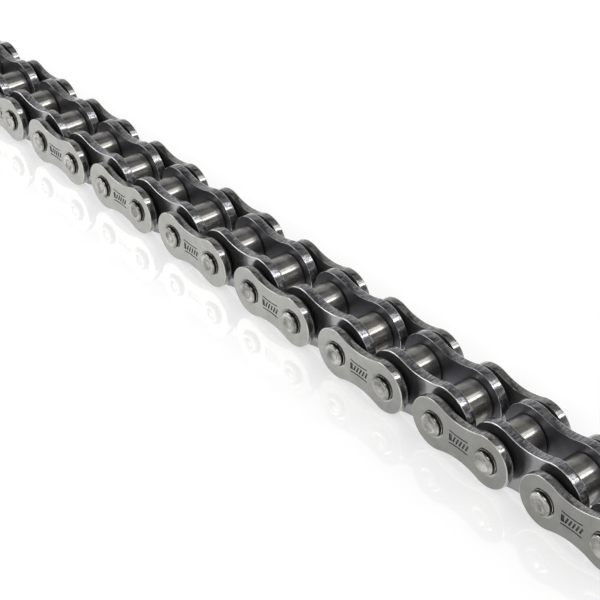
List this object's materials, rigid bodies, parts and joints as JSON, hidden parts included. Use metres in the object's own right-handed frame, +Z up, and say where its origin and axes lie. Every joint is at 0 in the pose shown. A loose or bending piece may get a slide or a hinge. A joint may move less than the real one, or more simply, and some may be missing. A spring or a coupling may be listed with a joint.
{
  "type": "roller chain",
  "caption": "Straight length of sealed roller chain: waisted inner and outer plates, riveted pins, bushes and free rollers, folding at every pin.",
  "frame": {"origin": "on the ground below the middle of the length, with the chain straight and standing on its inner plates' bottom edges", "axes": "+X along the chain, +Y along the pins, from the front plates to the back ones, +Z up across the plates"},
  "size_m": [0.3164, 0.0206, 0.0148],
  "materials": {
    "outer_plate_steel": "satin tumbled steel, light warm grey",
    "inner_plate_steel": "satin tumbled steel, a little darker",
    "roller_steel": "ground and polished steel",
    "pin_steel": "ground pin and bush steel, riveted ends left bright",
    "seal_rubber": "black sealing rubber, slightly oiled"
  },
  "bodies": {
    "inner_link_01": {"inner_plate_01_bushed": "inner_plate_steel", "inner_plate_01_plain": "inner_plate_steel"},
    "outer_link_01": {"outer_plate_01_pinned": "outer_plate_steel", "outer_plate_01_plain": "outer_plate_steel"},
    "inner_link_02": {"inner_plate_02_bushed": "inner_plate_steel", "inner_plate_02_plain": "inner_plate_steel"},
    "outer_link_02": {"outer_plate_02_pinned": "outer_plate_steel", "outer_plate_02_plain": "outer_plate_steel"},
    "inner_link_03": {"inner_plate_03_bushed": "inner_plate_steel", "inner_plate_03_plain": "inner_plate_steel"},
    "outer_link_03": {"outer_plate_03_pinned": "outer_plate_steel", "outer_plate_03_plain": "outer_plate_steel"},
    "inner_link_04": {"inner_plate_04_bushed": "inner_plate_steel", "inner_plate_04_plain": "inner_plate_steel"},
    "outer_link_04": {"outer_plate_04_pinned": "outer_plate_steel", "outer_plate_04_plain": "outer_plate_steel"},
    "inner_link_05": {"inner_plate_05_bushed": "inner_plate_steel", "inner_plate_05_plain": "inner_plate_steel"},
    "outer_link_05": {"outer_plate_05_pinned": "outer_plate_steel", "outer_plate_05_plain": "outer_plate_steel"},
    "inner_link_06": {"inner_plate_06_bushed": "inner_plate_steel", "inner_plate_06_plain": "inner_plate_steel"},
    "outer_link_06": {"outer_plate_06_pinned": "outer_plate_steel", "outer_plate_06_plain": "outer_plate_steel"},
    "inner_link_07": {"inner_plate_07_bushed": "inner_plate_steel", "inner_plate_07_plain": "inner_plate_steel"},
    "outer_link_07": {"outer_plate_07_pinned": "outer_plate_steel", "outer_plate_07_plain": "outer_plate_steel"},
    "inner_link_08": {"inner_plate_08_bushed": "inner_plate_steel", "inner_plate_08_plain": "inner_plate_steel"},
    "outer_link_08": {"outer_plate_08_pinned": "outer_plate_steel", "outer_plate_08_plain": "outer_plate_steel"},
    "inner_link_09": {"inner_plate_09_bushed": "inner_plate_steel", "inner_plate_09_plain": "inner_plate_steel"},
    "outer_link_09": {"outer_plate_09_pinned": "outer_plate_steel", "outer_plate_09_plain": "outer_plate_steel"},
    "inner_link_10": {"inner_plate_10_bushed": "inner_plate_steel", "inner_plate_10_plain": "inner_plate_steel"},
    "roller_01_a": {"roller_01_a": "roller_steel"},
    "roller_01_b": {"roller_01_b": "roller_steel"},
    "roller_02_a": {"roller_02_a": "roller_steel"},
    "roller_02_b": {"roller_02_b": "roller_steel"},
    "roller_03_a": {"roller_03_a": "roller_steel"},
    "roller_03_b": {"roller_03_b": "roller_steel"},
    "roller_04_a": {"roller_04_a": "roller_steel"},
    "roller_04_b": {"roller_04_b": "roller_steel"},
    "roller_05_a": {"roller_05_a": "roller_steel"},
    "roller_05_b": {"roller_05_b": "roller_steel"},
    "roller_06_a": {"roller_06_a": "roller_steel"},
    "roller_06_b": {"roller_06_b": "roller_steel"},
    "roller_07_a": {"roller_07_a": "roller_steel"},
    "roller_07_b": {"roller_07_b": "roller_steel"},
    "roller_08_a": {"roller_08_a": "roller_steel"},
    "roller_08_b": {"roller_08_b": "roller_steel"},
    "roller_09_a": {"roller_09_a": "roller_steel"},
    "roller_09_b": {"roller_09_b": "roller_steel"},
    "roller_10_a": {"roller_10_a": "roller_steel"},
    "roller_10_b": {"roller_10_b": "roller_steel"}
  },
  "joints": [
    {"name": "fold_09", "type": "hinge", "parent": "outer_link_05", "child": "inner_link_05", "pos_m": [-0.00794, 0, 0.00739], "axis": [0, 1, 0], "range_deg": [-30, 30]},
    {"name": "fold_10", "type": "hinge", "parent": "outer_link_05", "child": "inner_link_06", "pos_m": [0.00794, 0, 0.00739], "axis": [0, 1, 0], "range_deg": [-30, 30]},
    {"name": "fold_08", "type": "hinge", "parent": "inner_link_05", "child": "outer_link_04", "pos_m": [-0.02381, 0, 0.00739], "axis": [0, 1, 0], "range_deg": [-30, 30]},
    {"name": "fold_11", "type": "hinge", "parent": "inner_link_06", "child": "outer_link_06", "pos_m": [0.02381, 0, 0.00739], "axis": [0, 1, 0], "range_deg": [-30, 30]},
    {"name": "fold_07", "type": "hinge", "parent": "outer_link_04", "child": "inner_link_04", "pos_m": [-0.03969, 0, 0.00739], "axis": [0, 1, 0], "range_deg": [-30, 30]},
    {"name": "fold_12", "type": "hinge", "parent": "outer_link_06", "child": "inner_link_07", "pos_m": [0.03969, 0, 0.00739], "axis": [0, 1, 0], "range_deg": [-30, 30]},
    {"name": "fold_06", "type": "hinge", "parent": "inner_link_04", "child": "outer_link_03", "pos_m": [-0.05556, 0, 0.00739], "axis": [0, 1, 0], "range_deg": [-30, 30]},
    {"name": "fold_13", "type": "hinge", "parent": "inner_link_07", "child": "outer_link_07", "pos_m": [0.05556, 0, 0.00739], "axis": [0, 1, 0], "range_deg": [-30, 30]},
    {"name": "fold_05", "type": "hinge", "parent": "outer_link_03", "child": "inner_link_03", "pos_m": [-0.07144, 0, 0.00739], "axis": [0, 1, 0], "range_deg": [-30, 30]},
    {"name": "fold_14", "type": "hinge", "parent": "outer_link_07", "child": "inner_link_08", "pos_m": [0.07144, 0, 0.00739], "axis": [0, 1, 0], "range_deg": [-30, 30]},
    {"name": "fold_04", "type": "hinge", "parent": "inner_link_03", "child": "outer_link_02", "pos_m": [-0.08731, 0, 0.00739], "axis": [0, 1, 0], "range_deg": [-30, 30]},
    {"name": "fold_15", "type": "hinge", "parent": "inner_link_08", "child": "outer_link_08", "pos_m": [0.08731, 0, 0.00739], "axis": [0, 1, 0], "range_deg": [-30, 30]},
    {"name": "fold_03", "type": "hinge", "parent": "outer_link_02", "child": "inner_link_02", "pos_m": [-0.10319, 0, 0.00739], "axis": [0, 1, 0], "range_deg": [-30, 30]},
    {"name": "fold_16", "type": "hinge", "parent": "outer_link_08", "child": "inner_link_09", "pos_m": [0.10319, 0, 0.00739], "axis": [0, 1, 0], "range_deg": [-30, 30]},
    {"name": "fold_02", "type": "hinge", "parent": "inner_link_02", "child": "outer_link_01", "pos_m": [-0.11906, 0, 0.00739], "axis": [0, 1, 0], "range_deg": [-30, 30]},
    {"name": "fold_17", "type": "hinge", "parent": "inner_link_09", "child": "outer_link_09", "pos_m": [0.11906, 0, 0.00739], "axis": [0, 1, 0], "range_deg": [-30, 30]},
    {"name": "fold_01", "type": "hinge", "parent": "outer_link_01", "child": "inner_link_01", "pos_m": [-0.13494, 0, 0.00739], "axis": [0, 1, 0], "range_deg": [-30, 30]},
    {"name": "fold_18", "type": "hinge", "parent": "outer_link_09", "child": "inner_link_10", "pos_m": [0.13494, 0, 0.00739], "axis": [0, 1, 0], "range_deg": [-30, 30]},
    {"name": "spin_01_a", "type": "hinge", "parent": "inner_link_01", "child": "roller_01_a", "pos_m": [-0.15081, 0, 0.00739], "axis": [0, 1, 0], "continuous": true},
    {"name": "spin_01_b", "type": "hinge", "parent": "inner_link_01", "child": "roller_01_b", "pos_m": [-0.13494, 0, 0.00739], "axis": [0, 1, 0], "continuous": true},
    {"name": "spin_02_a", "type": "hinge", "parent": "inner_link_02", "child": "roller_02_a", "pos_m": [-0.11906, 0, 0.00739], "axis": [0, 1, 0], "continuous": true},
    {"name": "spin_02_b", "type": "hinge", "parent": "inner_link_02", "child": "roller_02_b", "pos_m": [-0.10319, 0, 0.00739], "axis": [0, 1, 0], "continuous": true},
    {"name": "spin_03_a", "type": "hinge", "parent": "inner_link_03", "child": "roller_03_a", "pos_m": [-0.08731, 0, 0.00739], "axis": [0, 1, 0], "continuous": true},
    {"name": "spin_03_b", "type": "hinge", "parent": "inner_link_03", "child": "roller_03_b", "pos_m": [-0.07144, 0, 0.00739], "axis": [0, 1, 0], "continuous": true},
    {"name": "spin_04_a", "type": "hinge", "parent": "inner_link_04", "child": "roller_04_a", "pos_m": [-0.05556, 0, 0.00739], "axis": [0, 1, 0], "continuous": true},
    {"name": "spin_04_b", "type": "hinge", "parent": "inner_link_04", "child": "roller_04_b", "pos_m": [-0.03969, 0, 0.00739], "axis": [0, 1, 0], "continuous": true},
    {"name": "spin_05_a", "type": "hinge", "parent": "inner_link_05", "child": "roller_05_a", "pos_m": [-0.02381, 0, 0.00739], "axis": [0, 1, 0], "continuous": true},
    {"name": "spin_05_b", "type": "hinge", "parent": "inner_link_05", "child": "roller_05_b", "pos_m": [-0.00794, 0, 0.00739], "axis": [0, 1, 0], "continuous": true},
    {"name": "spin_06_a", "type": "hinge", "parent": "inner_link_06", "child": "roller_06_a", "pos_m": [0.00794, 0, 0.00739], "axis": [0, 1, 0], "continuous": true},
    {"name": "spin_06_b", "type": "hinge", "parent": "inner_link_06", "child": "roller_06_b", "pos_m": [0.02381, 0, 0.00739], "axis": [0, 1, 0], "continuous": true},
    {"name": "spin_07_a", "type": "hinge", "parent": "inner_link_07", "child": "roller_07_a", "pos_m": [0.03969, 0, 0.00739], "axis": [0, 1, 0], "continuous": true},
    {"name": "spin_07_b", "type": "hinge", "parent": "inner_link_07", "child": "roller_07_b", "pos_m": [0.05556, 0, 0.00739], "axis": [0, 1, 0], "continuous": true},
    {"name": "spin_08_a", "type": "hinge", "parent": "inner_link_08", "child": "roller_08_a", "pos_m": [0.07144, 0, 0.00739], "axis": [0, 1, 0], "continuous": true},
    {"name": "spin_08_b", "type": "hinge", "parent": "inner_link_08", "child": "roller_08_b", "pos_m": [0.08731, 0, 0.00739], "axis": [0, 1, 0], "continuous": true},
    {"name": "spin_09_a", "type": "hinge", "parent": "inner_link_09", "child": "roller_09_a", "pos_m": [0.10319, 0, 0.00739], "axis": [0, 1, 0], "continuous": true},
    {"name": "spin_09_b", "type": "hinge", "parent": "inner_link_09", "child": "roller_09_b", "pos_m": [0.11906, 0, 0.00739], "axis": [0, 1, 0], "continuous": true},
    {"name": "spin_10_a", "type": "hinge", "parent": "inner_link_10", "child": "roller_10_a", "pos_m": [0.13494, 0, 0.00739], "axis": [0, 1, 0], "continuous": true},
    {"name": "spin_10_b", "type": "hinge", "parent": "inner_link_10", "child": "roller_10_b", "pos_m": [0.15081, 0, 0.00739], "axis": [0, 1, 0], "continuous": true}
  ]
}
